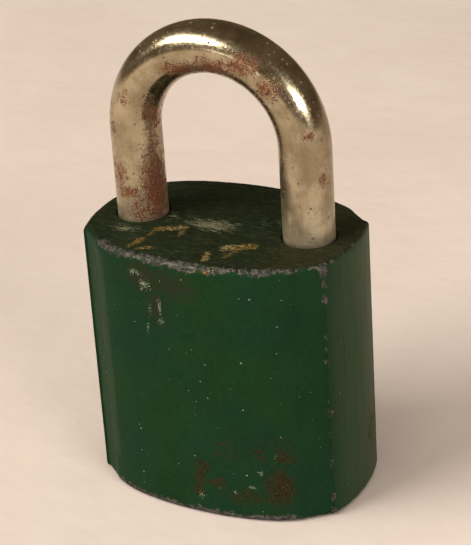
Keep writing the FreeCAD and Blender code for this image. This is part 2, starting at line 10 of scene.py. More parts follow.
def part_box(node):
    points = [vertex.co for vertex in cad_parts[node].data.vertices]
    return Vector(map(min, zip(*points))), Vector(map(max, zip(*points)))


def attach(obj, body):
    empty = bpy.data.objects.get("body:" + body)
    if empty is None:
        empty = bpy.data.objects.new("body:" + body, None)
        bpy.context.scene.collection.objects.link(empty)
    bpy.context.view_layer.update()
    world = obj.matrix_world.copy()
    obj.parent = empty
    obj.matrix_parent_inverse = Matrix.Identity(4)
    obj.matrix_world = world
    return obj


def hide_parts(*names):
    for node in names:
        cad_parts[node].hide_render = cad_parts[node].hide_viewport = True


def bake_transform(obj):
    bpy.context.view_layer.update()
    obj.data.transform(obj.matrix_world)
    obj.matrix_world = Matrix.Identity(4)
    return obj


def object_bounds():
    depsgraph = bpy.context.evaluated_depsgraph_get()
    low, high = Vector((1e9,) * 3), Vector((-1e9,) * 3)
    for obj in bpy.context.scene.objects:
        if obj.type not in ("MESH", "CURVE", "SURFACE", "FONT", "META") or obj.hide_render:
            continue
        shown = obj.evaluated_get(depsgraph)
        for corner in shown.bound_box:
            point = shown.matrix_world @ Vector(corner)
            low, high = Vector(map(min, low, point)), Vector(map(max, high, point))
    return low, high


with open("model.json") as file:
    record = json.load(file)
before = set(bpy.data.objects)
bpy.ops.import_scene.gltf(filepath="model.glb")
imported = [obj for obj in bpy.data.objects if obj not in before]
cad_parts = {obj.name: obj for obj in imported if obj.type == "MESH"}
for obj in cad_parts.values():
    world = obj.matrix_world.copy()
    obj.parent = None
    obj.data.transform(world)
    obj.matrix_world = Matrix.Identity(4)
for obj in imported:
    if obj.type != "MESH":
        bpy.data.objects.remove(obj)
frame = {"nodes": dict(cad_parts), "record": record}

# A worn, dark green padlock with a round steel shackle. The case and the shackle are meshed
# again here, finely enough for chipped edges and rust pits, and so are the springs. The other
# pieces inside keep their own meshes. Meshes and lights are in metres, and every other length
# below is in millimetres.

MM = 0.001
cad_low, cad_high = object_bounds()
case_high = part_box("case")[1] / MM
bar_low, bar_high = (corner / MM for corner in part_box("shackle"))
TOP = case_high.z
BAR = bar_high.y                    # radius of the shackle's bar
REACH = bar_high.x - BAR            # from the middle of the lock to the middle of each leg
BEND = bar_high.z - BAR - REACH     # height where the bend starts
HIDDEN = 4.0                        # the legs are clean and even from this far below the top

RIM = 0.9                           # rounding of the case's top and bottom edges
END_RIM = 0.4                       # at the ends the bottom edge is rounded this share wider
RIM_STEPS = 8
FACE_STEP = 0.34
CORNER_STEP = 0.12
CORNER_CHORD = 0.6                  # the hull's edges are shorter than this at its corners
CAP_STEP = 0.45
WELD = 0.002
BAR_STEP = 0.35
BAR_SIDES = 84
NOTCH_SIDES = 96
RIDGE = 15.6                        # from the lock's middle to the soft ridges on its sides
CORNER = Vector((case_high.x - 1.65, 8.15))     # one upright corner edge, seen from above
PIN_COUNT = 5
DRIVER_WIRE, DRIVER_TURNS = 0.26, 4
LIFT_WIRE, LIFT_TURNS = 0.8, 7
SPRING_STEPS = 36                   # rings in each turn of a spring
SPRING_SIDES = 14
CHIP_DEPTH = 0.09
PIT_DEPTH = 0.05
CAMERA_AZIMUTH, CAMERA_ELEVATION, CAMERA_ROLL = 28.27, 26.16, -3.85     # in degrees
CAMERA_LENS = 133.95
CAMERA_DISTANCE = 313.5
CAMERA_AIM = Vector((1.26, 0.0, -2.90))         # from the middle of the lock

# Chips along the front right corner: height, half length, strength.
CORNER_CHIPS = [
    (42.4, 2.0, 1.0), (39.8, 1.3, 0.6), (37.8, 0.9, 0.6), (34.8, 1.0, 0.3), (30.2, 1.8, 0.4),
    (27.0, 1.6, 0.45), (22.5, 1.2, 0.15), (18.2, 0.9, 0.6), (14.2, 1.1, 0.5), (9.8, 0.8, 0.15),
    (3.4, 1.6, 0.4), (1.0, 0.9, 0.7),
]

# Places on the surface: middle, half sizes, strength.
BAR_RUST = [
    ((-10.8, -1.4, 48.5), (2.6, 4.4, 11.0), 1.05),
    ((-10.4, -1.2, 61.5), (1.5, 3.4, 7.0), 0.75),
    ((-12.2, -3.2, 45.0), (4.0, 2.6, 3.0), 0.7),
    ((-14.0, -4.0, 48.2), (3.6, 1.6, 1.7), 0.8),
    ((-15.6, -3.6, 51.6), (2.0, 2.0, 3.0), 0.7),
    ((-16.4, -3.2, 58.0), (1.6, 2.0, 3.4), 0.5),
    ((-13.6, -4.0, 63.6), (1.3, 1.6, 2.2), 0.55),
    ((-3.6, -3.4, 69.0), (4.6, 2.8, 1.9), 1.0),
    ((1.6, -3.2, 70.2), (4.6, 3.0, 2.4), 0.95),
    ((6.4, -3.2, 71.0), (3.6, 2.8, 2.4), 0.95),
    ((10.4, -3.8, 68.0), (2.6, 2.0, 2.4), 0.8),
    ((16.2, -3.4, 61.0), (1.2, 1.6, 0.9), 0.75),
    ((17.9, -1.9, 54.2), (0.9, 1.8, 1.5), 0.7),
    ((3.0, 3.4, 71.5), (7.0, 3.0, 3.0), 0.7),
    ((14.0, 3.6, 48.5), (3.4, 2.4, 5.5), 0.7),
    ((-15.0, 3.6, 47.0), (3.2, 2.4, 4.0), 0.75),
]
CASE_RUST = [
    ((1.6, -15.0, 8.9), (1.8, 2.0, 1.6), 0.8),
    ((0.9, -15.0, 7.4), (1.4, 2.0, 2.8), 0.95),
    ((0.5, -15.0, 4.4), (1.4, 2.0, 1.8), 0.95),
    ((3.6, -15.0, 6.4), (2.6, 2.0, 1.9), 0.6),
    ((8.2, -14.2, 4.4), (4.6, 2.4, 2.2), 0.6),
    ((13.4, -13.0, 6.4), (3.4, 2.6, 5.0), 1.0),
    ((14.2, -12.8, 12.4), (2.6, 2.4, 3.2), 0.6),
    ((10.4, -13.6, 12.4), (6.4, 2.4, 4.2), 0.24),
    ((5.4, -15.0, 12.0), (4.6, 2.0, 2.6), 0.2),
    ((-8.0, 14.6, 30.0), (4.0, 2.4, 6.0), 0.7),
    ((20.6, 4.0, 9.0), (2.4, 3.4, 5.0), 0.5),
]
CASE_SMEAR = [
    ((-6.4, -14.6, 40.2), (5.0, 2.6, 3.6), 1.0),
    ((-1.6, -15.0, 39.4), (6.0, 2.6, 3.4), 0.85),
    ((-4.6, -15.0, 35.6), (3.2, 2.4, 5.0), 0.6),
]
CASE_SCUFF = [
    ((-8.2, -14.4, 40.4), (2.0, 2.0, 0.9), 1.0),
    ((-6.4, -14.8, 38.8), (1.6, 2.0, 1.5), 0.95),
    ((-4.0, -15.0, 35.6), (0.5, 2.0, 2.6), 0.95),
    ((-3.9, -15.0, 33.0), (0.8, 2.0, 0.9), 0.95),
    ((-5.8, -15.0, 34.6), (0.6, 2.0, 1.6), 0.7),
    ((-6.4, -15.0, 31.4), (0.4, 2.0, 1.6), 0.8),
    ((0.9, -15.0, 3.6), (0.9, 2.0, 1.0), 0.9),
    ((9.4, -14.0, 6.2), (1.0, 2.0, 0.8), 0.9),
    ((10.8, -14.0, 9.0), (0.7, 2.0, 0.7), 0.9),
    ((6.6, -14.8, 5.0), (0.7, 2.0, 0.6), 0.8),
]
DUST = [
    ((-1.6, -1.4, TOP), (6.4, 3.2, 1.2), 1.0),
    ((-13.6, -6.8, TOP), (3.6, 1.7, 1.2), 0.9),
    ((-8.6, -0.6, TOP), (2.0, 2.4, 1.2), 0.6),
    ((7.0, 2.0, TOP), (4.0, 3.0, 1.2), 0.35),
]
# Smears of brass on the top, from keys and chains: start, end, half width, strength.
BRASS_STROKES = [
    ((-10.0, -12.0, TOP), (-9.5, -9.4, TOP), 0.9, 0.9),
    ((-9.3, -7.6, TOP), (-8.9, -5.8, TOP), 0.8, 0.6),
    ((-8.6, -5.2, TOP), (-5.2, -3.6, TOP), 1.1, 1.3),
    ((-4.9, -4.4, TOP), (-4.5, -6.4, TOP), 0.8, 0.5),
    ((-8.4, -12.4, TOP), (-6.4, -11.4, TOP), 0.8, 0.65),
    ((3.1, -12.6, TOP), (2.3, -10.4, TOP), 0.8, 0.85),
    ((4.2, -8.0, TOP), (7.7, -6.2, TOP), 1.3, 1.35),
    ((6.0, -8.8, TOP), (5.4, -10.6, TOP), 0.8, 0.6),
    ((1.0, -15.0, TOP - 0.2), (5.4, -15.0, TOP - 0.2), 1.1, 1.0),
]


def smooth_step(value, low, high):
    share = min(1.0, max(0.0, (value - low) / (high - low)))
    return share * share * (3.0 - 2.0 * share)


def lumps(place, size, seed=0.0):
    """Smooth noise from about -1 to 1, with lumps about size millimetres across."""
    return noise.fractal(place / size + Vector((seed, seed, seed)), 0.9, 2.1, 3)


def spread(place, spots):
    """How much of a mark there is at this place: 0 outside every spot, up to 1."""
    most = 0.0
    for middle, sizes, strength in spots:
        offset = [(place[axis] - middle[axis]) / sizes[axis] for axis in range(3)]
        most = max(most, strength * (1.0 - math.hypot(*offset)))
    return most


# ---- Meshes -------------------------------------------------------------------------------


def plan_hull(mesh):
    """The case's corners seen from above, anticlockwise, from the hull of its mesh."""
    flat = [Vector((vertex.co.x, vertex.co.y)) / MM for vertex in mesh.vertices]
    hull = []
    for number in geometry.convex_hull_2d(flat):
        if not hull or (flat[number] - hull[-1]).length > 10 * WELD:
            hull.append(flat[number])
    if (hull[0] - hull[-1]).length <= 10 * WELD:
        hull.pop()
    area = sum(one.cross(two) for one, two in zip(hull, hull[1:] + hull[:1]))
    return hull if area > 0 else hull[::-1]


def smooth_plan(hull):
    """Points close together on a smooth curve through the hull, each with its inward direction."""
    following = hull[1:] + hull[:1]
    chords = [end - start for start, end in zip(hull, following)]
    before = chords[-1:] + chords[:-1]
    headings = [
        (old.normalized() * new.length + new.normalized() * old.length).normalized()
        for old, new in zip(before, chords)
    ]
    ridge = ridge_corner(hull)
    points = []
    for number, chord in enumerate(chords):
        length = chord.length
        step = CORNER_STEP if length < CORNER_CHORD else FACE_STEP
        count = max(1, round(length / step))
        out = headings[number] * length
        into = headings[(number + 1) % len(hull)] * length
        for part in range(count):
            t = part / count
            place = (
                hull[number] * (2 * t**3 - 3 * t**2 + 1) + out * (t**3 - 2 * t**2 + t)
                + following[number] * (3 * t**2 - 2 * t**3) + into * (t**3 - t**2)
            )
            heading = (
                chord * (6 * t - 6 * t**2) + out * (3 * t**2 - 4 * t + 1) + into * (3 * t**2 - 2 * t)
            ).normalized()
            points.append((flat_shoulder(place, ridge), Vector((-heading.y, heading.x))))
    return points


def ridge_corner(hull):
    """The hull's corner nearest to a soft ridge, as if it were in the first quarter."""
    folded = [Vector((abs(corner.x), abs(corner.y))) for corner in hull if abs(corner.y) > CORNER.y]
    return min(folded, key=lambda corner: abs(corner.x - RIDGE))


def flat_shoulder(place, ridge):
    """The place moved in, if it lies between a ridge and a corner, where the side is flat."""
    chord = CORNER - ridge
    offset = Vector((abs(place.x), abs(place.y))) - ridge
    share = offset.dot(chord) / chord.length_squared
    if not 0.0 < share < 1.0 or abs(place.y) < CORNER.y:
        return place
    bulge = (offset - chord * share) * smooth_step(share, 0.0, 0.35)
    return place - Vector((math.copysign(bulge.x, place.x), math.copysign(bulge.y, place.y)))


def side_rings():
    """Height and inset of each ring of the case's side, from the bottom rim up to the top one."""
    quarter = [math.pi / 2 * step / RIM_STEPS for step in range(RIM_STEPS)]
    low = [(RIM * (1 - math.cos(turn)), RIM * (1 - math.sin(turn))) for turn in quarter]
    count = round((TOP - 2 * RIM) / FACE_STEP)
    middle = [(RIM + (TOP - 2 * RIM) * step / count, 0.0) for step in range(count + 1)]
    return low + middle + [(TOP - height, inset) for height, inset in reversed(low)]


def inside_faces(mesh, plan):
    """The case's own mesh without its outer skin: the walls of its holes and cavities."""
    inner = bmesh.new()
    inner.from_mesh(mesh)
    bmesh.ops.remove_doubles(inner, verts=inner.verts, dist=WELD * MM)
    outline = np.array([point[:] for point, _ in plan])
    places = np.array([vertex.co[:] for vertex in inner.verts]) / MM
    gaps = np.linalg.norm(places[:, None, :2] - outline[None], axis=2).min(axis=1)
    skin = gaps < RIM + FACE_STEP
    level_top = places[:, 2] > TOP - WELD
    level_base = places[:, 2] < WELD
    outer = [
        face for face in inner.faces
        if any(all(kind[vertex.index] for vertex in face.verts) for kind in (skin, level_top, level_base))
    ]
    bmesh.ops.delete(inner, geom=outer, context="FACES")
    return inner


def open_loops(shell, height):
    """The closed edge loops left open at this height, as lists of corners seen from above."""
    nexts = {}
    for edge in shell.edges:
        if edge.is_boundary and all(abs(vertex.co.z / MM - height) < WELD for vertex in edge.verts):
            one, two = edge.verts
            nexts.setdefault(one, []).append(two)
            nexts.setdefault(two, []).append(one)
    loops = []
    while nexts:
        loop = [next(iter(nexts))]
        while True:
            onward = [vertex for vertex in nexts.pop(loop[-1]) if vertex in nexts]
            if not onward:
                break
            loop.append(onward[0])
        loops.append([Vector((vertex.co.x, vertex.co.y)) / MM for vertex in loop])
    return loops


def within(points, loops):
    """True for each point that lies inside an odd number of the loops."""
    crossings = np.zeros(len(points), int)
    for loop in loops:
        start = np.array([corner[:] for corner in loop])
        end = np.roll(start, -1, axis=0)
        for (x0, y0), (x1, y1) in zip(start, end):
            if y0 == y1:
                continue
            spans = (points[:, 1] > min(y0, y1)) & (points[:, 1] <= max(y0, y1))
            crossings += spans & (points[:, 0] < x0 + (points[:, 1] - y0) * (x1 - x0) / (y1 - y0))
    return crossings % 2 == 1


def fill_cap(rim, holes):
    """Triangles between the rim and the holes, on a fine grid: (corners, triangles)."""
    loops = [rim] + holes
    corners = []
    edges = []
    for loop in loops:
        first = len(corners)
        corners += loop
        edges += [(first + i, first + (i + 1) % len(loop)) for i in range(len(loop))]
    reach = max(corner.length for corner in rim)
    ticks = np.arange(-reach, reach, CAP_STEP)
    grid = np.array([(x + (row % 2) * CAP_STEP / 2, y) for row, y in enumerate(ticks) for x in ticks])
    ring = np.array([corner[:] for corner in corners])
    clear = np.linalg.norm(grid[:, None] - ring[None], axis=2).min(axis=1) > CAP_STEP / 2
    kept = grid[clear & within(grid, loops)]
    corners = corners + [Vector(point) for point in kept]
    points, _, triangles, *_ = geometry.delaunay_2d_cdt(corners, edges, [], 0, 1e-5)
    middles = np.array([sum((points[i] for i in three), Vector((0, 0))) / 3 for three in triangles])
    inside = within(middles, loops)
    return points, [three for three, keep in zip(triangles, inside) if keep]


def case_wear(place, inset):
    """How far the paint has worn off here, 0 to 1: along the rims and down the corners."""
    rough = 0.5 * lumps(place, 1.4) + 0.6 * lumps(place, 0.5, 7.0)
    steady = lumps(Vector((place.x, place.y, 0)), 5.0, 3.0)
    rim = math.hypot(inset, TOP - place.z)
    foot = math.hypot(inset, place.z)
    right = smooth_step(place.x, 3.0, 10.0)
    away = max(smooth_step(place.y, -10.0, -4.0), smooth_step(-place.x, 12.0, 18.0))
    band = 1.22 - 0.22 * right - 0.55 * away + 0.4 * steady
    worn = smooth_step(band - rim + 0.7 * rough, -0.2, 0.9)
    front = smooth_step(-place.y, 9.0, 13.0)
    base_band = 0.7 + 0.95 * front + 0.35 * steady
    worn = max(worn, 0.9 * smooth_step(base_band - foot + 0.7 * rough, -0.2, 0.9))
    corner = math.hypot(abs(place.x) - CORNER.x, abs(place.y) - CORNER.y)
    if corner < 2.5:
        if place.x > 0 and place.y < 0:
            chipped = max(
                strength * (1.0 - ((place.z - height) / half) ** 2)
                for height, half, strength in CORNER_CHIPS
            )
            amount = 0.12 + 0.75 * max(chipped, 0.0)
        else:
            amount = 0.05 + 0.45 * lumps(place, 4.0, 11.0)
        worn = max(worn, smooth_step(amount - corner + 0.5 * rough, -0.1, 0.5))
    return worn


def wear_away(skin, plan):
    """Stores the wear on each vertex of the skin, and takes off the paint's thickness there."""
    layer = skin.verts.layers.float.new("wear")
    outline = np.array([point[:] for point, _ in plan])
    skin.normal_update()
    for vertex in skin.verts:
        place = vertex.co / MM
        near_edge = min(place.z, TOP - place.z) < 4.0
        flat = abs(abs(vertex.normal.z) - 1.0) < 1e-3
        inset = 0.0
        if flat or near_edge:
            inset = float(np.linalg.norm(outline - (place.x, place.y), axis=1).min())
        worn = case_wear(place, inset)
        vertex[layer] = worn
        wave = 0.012 * (1.0 + lumps(place, 9.0, 5.0))
        depth = CHIP_DEPTH * worn * (0.75 + 0.5 * lumps(place, 0.7, 2.0)) + (0.0 if flat else wave)
        if not vertex.is_boundary:
            vertex.co -= vertex.normal * max(depth, 0.0) * MM


def make_case():
    """A finely meshed outer skin, joined to the walls of the holes in the case's own mesh."""
    mesh = frame["nodes"]["case"].data
    plan = smooth_plan(plan_hull(mesh))
    inner = inside_faces(mesh, plan)
    holes = {height: open_loops(inner, height) for height in (0.0, TOP)}
    skin = bmesh.new()
    rings = []
    for height, inset in side_rings():
        extra = END_RIM if height < RIM else 0.0
        corners = [
            point + inward * inset * (1.0 + extra * smooth_step(abs(point.x), 13.0, 19.0))
            for point, inward in plan
        ]
        rings.append([skin.verts.new((x * MM, y * MM, height * MM)) for x, y in corners])
    for low, high in zip(rings, rings[1:]):
        for i in range(len(low)):
            j = (i + 1) % len(low)
            skin.faces.new((low[i], low[j], high[j], high[i]))
    for height, ring in ((0.0, rings[0]), (TOP, rings[-1])):
        rim = [Vector((vertex.co.x, vertex.co.y)) / MM for vertex in ring]
        points, triangles = fill_cap(rim, holes[height])
        made = [skin.verts.new((x * MM, y * MM, height * MM)) for x, y in points]
        for three in triangles:
            order = three if height else three[::-1]
            skin.faces.new([made[i] for i in order])
    bmesh.ops.remove_doubles(skin, verts=skin.verts, dist=WELD * MM)
    wear_away(skin, plan)
    slits = [edge for edge in skin.edges if edge.is_boundary]
    bmesh.ops.holes_fill(skin, edges=slits, sides=3)
    return join(skin, inner, "case_body")


def join(skin, inner, name):
    """One closed mesh from the skin and the inner walls, with their shared edges welded."""
    walls = bpy.data.meshes.new("walls")
    inner.to_mesh(walls)
    inner.free()
    skin.from_mesh(walls)
    bpy.data.meshes.remove(walls)
    bmesh.ops.remove_doubles(skin, verts=skin.verts, dist=WELD * MM)
    return finished_object(skin, name)


def finished_object(shell, name, crease=32.0):
    """A smooth-shaded object with sharp edges where the surface turns by more than the crease."""
    bmesh.ops.recalc_face_normals(shell, faces=shell.faces)
    for face in shell.faces:
        face.smooth = True
    for edge in shell.edges:
        if edge.is_manifold and edge.calc_face_angle() > math.radians(crease):
            edge.smooth = False
    mesh = bpy.data.meshes.new(name)
    shell.to_mesh(mesh)
    shell.free()
    piece = bpy.data.objects.new(name, mesh)
    bpy.context.scene.collection.objects.link(piece)
    return piece


def add_tube_faces(shell, rings):
    """Joins rings of the same number of points into a tube with closed ends."""
    for low, high in zip(rings, rings[1:]):
        for i in range(len(low)):
            j = (i + 1) % len(low)
            shell.faces.new((low[j], low[i], high[i], high[j]))
    shell.faces.new(rings[0])
    shell.faces.new(rings[-1][::-1])


def leg_profile(mesh, side):
    """Height and radius of each step turned or cut on one leg's end, in order up the leg."""
    steps = set()
    for vertex in mesh.vertices:
        place = vertex.co / MM
        if place.x * side > 0 and place.z < TOP:
            radius = math.hypot(place.x - REACH * side, place.y)
            steps.add((round(place.z, 2), round(radius, 2)))
    return sorted(steps)


def turned_steps(mesh):
    """The long leg's steps, from its end up. At a shoulder the nearer radius comes first."""
    levels = {}
    for height, radius in leg_profile(mesh, -1):
        levels.setdefault(height, []).append(radius)
    profile = []
    for height, radii in levels.items():
        last = profile[-1][1] if profile else 0.0
        for radius in sorted({min(radii), max(radii)}, key=lambda value: abs(value - last)):
            profile.append((height, radius))
    return profile


def bar_stations(mesh):
    """(distance along the bar, radius) of every ring, from the end of the long leg to the toe."""
    start = bar_low.z
    stations = [(height - start, radius) for height, radius in turned_steps(mesh)]
    toe_steps = leg_profile(mesh, 1)
    toe_end = toe_steps[0][0]
    chamfer = BAR - toe_steps[0][1]
    length = (BEND - start) + math.pi * REACH + (BEND - toe_end)
    first = stations[-1][0]
    count = round((length - chamfer - first) / BAR_STEP)
    stations += [
        (first + (length - chamfer - first) * step / count, BAR) for step in range(1, count + 1)
    ]
    return stations + [(length, BAR - chamfer)]


def along_bar(distance):
    """The middle of the bar at this distance, and the direction from it towards the outside."""
    up = BEND - bar_low.z
    bend = math.pi * REACH
    if distance <= up:
        return Vector((-REACH, 0, bar_low.z + distance)), Vector((-1, 0, 0))
    if distance >= up + bend:
        return Vector((REACH, 0, BEND - (distance - up - bend))), Vector((1, 0, 0))
    turn = (distance - up) / REACH
    outward = Vector((-math.cos(turn), 0, math.sin(turn)))
    return Vector((0, 0, BEND)) + outward * REACH, outward


def pit_depth(place):
    """How far the bar is eaten away here: rust pits, and faint unevenness elsewhere."""
    rust = smooth_step(spread(place, BAR_RUST) + 0.3 * lumps(place, 1.1, 4.0), 0.2, 0.6)
    pits = max(0.0, 0.4 + lumps(place, 0.8, 9.0))
    return PIT_DEPTH * rust * pits + 0.006 * (1.0 + lumps(place, 2.5, 1.0))


def make_bar():
    """The whole shackle before its toe notch is cut: rings of points along the bent bar."""
    shell = bmesh.new()
    bar_space = shell.verts.layers.float_vector.new("bar")
    rings = []
    for distance, radius in bar_stations(frame["nodes"]["shackle"].data):
        middle, outward = along_bar(distance)
        ring = []
        for side in range(BAR_SIDES):
            turn = 2 * math.pi * side / BAR_SIDES
            direction = outward * math.cos(turn) + Vector((0, 1, 0)) * math.sin(turn)
            place = middle + direction * radius
            if place.z > TOP - HIDDEN:
                place -= direction * pit_depth(place)
            vertex = shell.verts.new(place * MM)
            vertex[bar_space] = (BAR * math.cos(turn), BAR * math.sin(turn), distance)
            ring.append(vertex)
        rings.append(ring)
    add_tube_faces(shell, rings)
    return finished_object(shell, "shackle_bar")


def cut_toe_notch(bar):
    """Cuts the round notch that the locked ball sits in, where the CAD shackle has it."""
    ball_low, ball_high = (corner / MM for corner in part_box("toe_ball"))
    level = (ball_low.z + ball_high.z) / 2
    corners = [
        vertex.co / MM for vertex in frame["nodes"]["shackle"].data.vertices
        if 0 < vertex.co.x / MM < REACH + BAR and abs(vertex.co.z / MM - level) < BAR
    ]
    inner_side = [place for place in corners if abs(abs(place.y) - BAR) > WELD and place.x < REACH]
    radius = max(place.z for place in inner_side) - level
    deepest = max(place.x for place in inner_side if abs(place.z - level) < radius / 2)
    centre = Matrix.Translation(Vector((deepest - radius, 0, level)) * MM)
    shell = bmesh.new()
    bmesh.ops.create_cone(
        shell, cap_ends=True, segments=NOTCH_SIDES, radius1=radius * MM, radius2=radius * MM,
        depth=4 * BAR * MM, matrix=centre @ Matrix.Rotation(math.pi / 2, 4, "X"),
    )
    cutter = finished_object(shell, "notch_cutter")
    cut = bar.modifiers.new("notch", "BOOLEAN")
    cut.operation = "DIFFERENCE"
    cut.solver = "EXACT"
    cut.object = cutter
    bpy.context.view_layer.update()
    result = bpy.data.meshes.new_from_object(bar.evaluated_get(bpy.context.evaluated_depsgraph_get()))
    bar.modifiers.clear()
    bar.data = result
    bpy.data.objects.remove(cutter)


def make_spring(node, axis, wire, turns):
    """A coil of the CAD spring's size.

    The wire's thickness is in millimetres.
    """
    low, high = (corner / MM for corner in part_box(node))
    along = Vector(axis)
    aside = Vector((1, 0, 0))
    across = along.cross(aside)
    middle = (low + high) / 2
    reach = (high - low).dot(along)
    radius = (high.x - low.x - wire) / 2
    shell = bmesh.new()
    rings = []
    steps = round(turns * SPRING_STEPS)
    for step in range(steps + 1):
        share = step / steps
        turn = 2 * math.pi * turns * share
        outward = aside * math.cos(turn) + across * math.sin(turn)
        centre = middle + along * (reach - wire) * (share - 0.5) + outward * radius
        ring = []
        for side in range(SPRING_SIDES):
            bend = 2 * math.pi * side / SPRING_SIDES
            offset = (outward * math.cos(bend) + along * math.sin(bend)) * wire / 2
            ring.append(shell.verts.new((centre + offset) * MM))
        rings.append(ring)
    add_tube_faces(shell, rings)
    coil = finished_object(shell, f"{node}_coil")
    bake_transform(coil)
    return coil


# ---- Materials ----------------------------------------------------------------------------


class Graph:
    """A material's nodes, built one short call at a time. Places are in millimetres."""

    def __init__(self, name):
        self.material = bpy.data.materials.new(name)
        self.material.use_nodes = True
        self.tree = self.material.node_tree
        self.tree.nodes.clear()
        self.shader = self.tree.nodes.new("ShaderNodeBsdfPrincipled")
        output = self.tree.nodes.new("ShaderNodeOutputMaterial")
        self.tree.links.new(self.shader.outputs["BSDF"], output.inputs["Surface"])
        coordinates = self.tree.nodes.new("ShaderNodeTexCoord").outputs["Object"]
        self.place = self.vector("MULTIPLY", coordinates, (1 / MM,) * 3)

    def feed(self, socket, value):
        if isinstance(value, bpy.types.NodeSocket):
            self.tree.links.new(value, socket)
        elif socket.type == "RGBA":
            socket.default_value = (*value, 1.0)
        else:
            socket.default_value = value

    def set(self, name, value):
        self.feed(self.shader.inputs[name], value)

    def attribute(self, name, output="Fac"):
        node = self.tree.nodes.new("ShaderNodeAttribute")
        node.attribute_name = name
        return node.outputs[output]

    def math(self, operation, *values):
        node = self.tree.nodes.new("ShaderNodeMath")
        node.operation = operation
        for socket, value in zip(node.inputs, values):
            self.feed(socket, value)
        return node.outputs[0]

    def vector(self, operation, *values):
        node = self.tree.nodes.new("ShaderNodeVectorMath")
        node.operation = operation
        sockets = [node.inputs[0], node.inputs["Scale"]] if operation == "SCALE" else node.inputs
        for socket, value in zip(sockets, values):
            self.feed(socket, value)
        single = operation in ("LENGTH", "DISTANCE", "DOT_PRODUCT")
        return node.outputs["Value" if single else "Vector"]

    def axis(self, letter):
        node = self.tree.nodes.new("ShaderNodeSeparateXYZ")
        self.feed(node.inputs[0], self.place)
        return node.outputs[letter]

    def level(self, value, low, high, bottom=0.0, top=1.0):
        """Goes smoothly from bottom to top as the value goes from low to high."""
        node = self.tree.nodes.new("ShaderNodeMapRange")
        node.interpolation_type = "SMOOTHSTEP"
        for socket, number in zip(node.inputs, (value, low, high, bottom, top)):
            self.feed(socket, number)
        return node.outputs[0]

    def mix(self, amount, first, second):
        node = self.tree.nodes.new("ShaderNodeMix")
        node.data_type = "RGBA"
        self.feed(node.inputs[0], amount)
        self.feed(node.inputs[6], first)
        self.feed(node.inputs[7], second)
        return node.outputs[2]

    def blend(self, amount, first, second):
        """The same as mix, for plain numbers."""
        node = self.tree.nodes.new("ShaderNodeMix")
        for socket, value in zip(node.inputs[0:1] + node.inputs[2:4], (amount, first, second)):
            self.feed(socket, value)
        return node.outputs[0]

    def cloud(self, size, detail=4.0, place=None, stretch=(1.0, 1.0, 1.0), roughness=0.6):
        """Cloudy noise, mostly 0.3 to 0.7, with lumps about size millimetres across."""
        scaled = self.vector("MULTIPLY", place or self.place, tuple(part / size for part in stretch))
        node = self.tree.nodes.new("ShaderNodeTexNoise")
        node.inputs["Scale"].default_value = 1.0
        node.inputs["Detail"].default_value = detail
        node.inputs["Roughness"].default_value = roughness
        self.feed(node.inputs["Vector"], scaled)
        return node.outputs["Fac"]

    def specks(self, size, share, radius):
        """Round specks, one at most in each cell of this size, in this share of the cells."""
        node = self.tree.nodes.new("ShaderNodeTexVoronoi")
        node.inputs["Scale"].default_value = 1.0 / size
        self.feed(node.inputs["Vector"], self.place)
        parts = self.tree.nodes.new("ShaderNodeSeparateColor")
        self.feed(parts.inputs[0], node.outputs["Color"])
        chosen = self.math("LESS_THAN", parts.outputs[0], share)
        spread_out = self.math("MULTIPLY", parts.outputs[1], radius)
        distance = self.math("MULTIPLY", node.outputs["Distance"], size)
        speck = self.level(distance, self.math("MULTIPLY", spread_out, 0.6), spread_out, 1.0, 0.0)
        return self.math("MULTIPLY", speck, chosen)

    def spots(self, spots):
        """How much of a mark there is, worked out as spread() does for the meshes."""
        most = 0.0
        for middle, sizes, strength in spots:
            offset = self.vector("DIVIDE", self.vector("SUBTRACT", self.place, middle), sizes)
            inside = self.math("SUBTRACT", 1.0, self.vector("LENGTH", offset))
            most = self.math("MAXIMUM", most, self.math("MULTIPLY", inside, strength))
        return most

    def strokes(self, strokes):
        """Like spots, for smears: 1 along each stroke's middle line, 0 at its half width."""
        most = 0.0
        for start, end, half, strength in strokes:
            line = Vector(end) - Vector(start)
            offset = self.vector("SUBTRACT", self.place, start)
            reach = self.vector("DOT_PRODUCT", offset, tuple(line / line.length_squared))
            share = self.math("MINIMUM", self.math("MAXIMUM", reach, 0.0), 1.0)
            nearest = self.vector("SCALE", tuple(line), share)
            gap = self.math("DIVIDE", self.vector("DISTANCE", offset, nearest), half)
            inside = self.math("SUBTRACT", 1.0, gap)
            most = self.math("MAXIMUM", most, self.math("MULTIPLY", inside, strength))
        return most

    def ragged(self, amount, rough, low, high, weight=1.0):
        """A mask with a broken edge: the amount pushed up and down by noise, then cut off."""
        push = self.math("MULTIPLY", self.math("SUBTRACT", rough, 0.5), weight * 2.0)
        ragged = self.level(self.math("ADD", amount, push), low, high)
        return self.math("MULTIPLY", ragged, self.level(amount, 0.0, 0.05))

    def bump(self, heights):
        """Raised detail. Each height is a (mask, millimetres) pair."""
        total = 0.0
        for mask, height in heights:
            total = self.math("ADD", total, self.math("MULTIPLY", mask, height))
        node = self.tree.nodes.new("ShaderNodeBump")
        node.inputs["Distance"].default_value = MM
        self.feed(node.inputs["Height"], total)
        self.set("Normal", node.outputs["Normal"])


